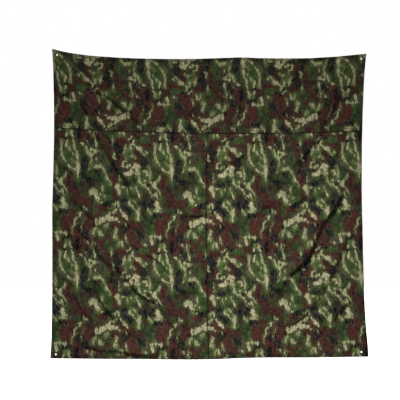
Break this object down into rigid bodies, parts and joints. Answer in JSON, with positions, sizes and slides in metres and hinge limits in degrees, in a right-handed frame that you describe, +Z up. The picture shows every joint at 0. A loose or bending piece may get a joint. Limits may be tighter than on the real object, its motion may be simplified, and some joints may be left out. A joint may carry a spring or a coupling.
{
  "type": "bivouac tarp",
  "caption": "Square camouflage bivouac tarp of sewn cloth panels with turned hems, patched corners and corner eyelets, hung upright to shelter or cover.",
  "frame": {"origin": "middle of the line between the centres of the two upper eyelets", "axes": "+X along the width, to the right as seen from the front; +Y from the face to the back of the cloth; +Z up, from the lower eyelets to the upper ones"},
  "size_m": [2.145, 0.0621, 2.095],
  "materials": {
    "camouflage_cloth": "printed plain-weave polyester, matt, four-colour woodland camouflage, coated on the back",
    "camouflage_patch": "the same cloth as the panels, doubled at the corners",
    "seam_tape": "thin heat-bonded tape, satin",
    "olive_thread": "polyester sewing thread, matt",
    "nickel": "nickel-plated brass, satin, lightly worn"
  },
  "bodies": {
    "root": {"centre_seam_stitching_left": "olive_thread", "centre_seam_stitching_right": "olive_thread", "centre_seam_tape": "seam_tape", "corner_patch_bottom_left": "camouflage_patch", "corner_patch_bottom_right": "camouflage_patch", "corner_patch_top_left": "camouflage_patch", "corner_patch_top_right": "camouflage_patch", "corner_stitching_bottom_left": "olive_thread", "corner_stitching_bottom_right": "olive_thread", "corner_stitching_top_left": "olive_thread", "corner_stitching_top_right": "olive_thread", "cross_seam_stitching_lower": "olive_thread", "cross_seam_stitching_upper": "olive_thread", "cross_seam_tape": "seam_tape", "eyelet_bottom_left": "nickel", "eyelet_bottom_right": "nickel", "eyelet_top_left": "nickel", "eyelet_top_right": "nickel", "eyelet_washer_bottom_left": "nickel", "eyelet_washer_bottom_right": "nickel", "eyelet_washer_top_left": "nickel", "eyelet_washer_top_right": "nickel", "hem_stitching_bottom": "olive_thread", "hem_stitching_left": "olive_thread", "hem_stitching_right": "olive_thread", "hem_stitching_top": "olive_thread", "lower_left_panel": "camouflage_cloth", "lower_right_panel": "camouflage_cloth", "upper_panel": "camouflage_cloth"}
  },
  "joints": []
}
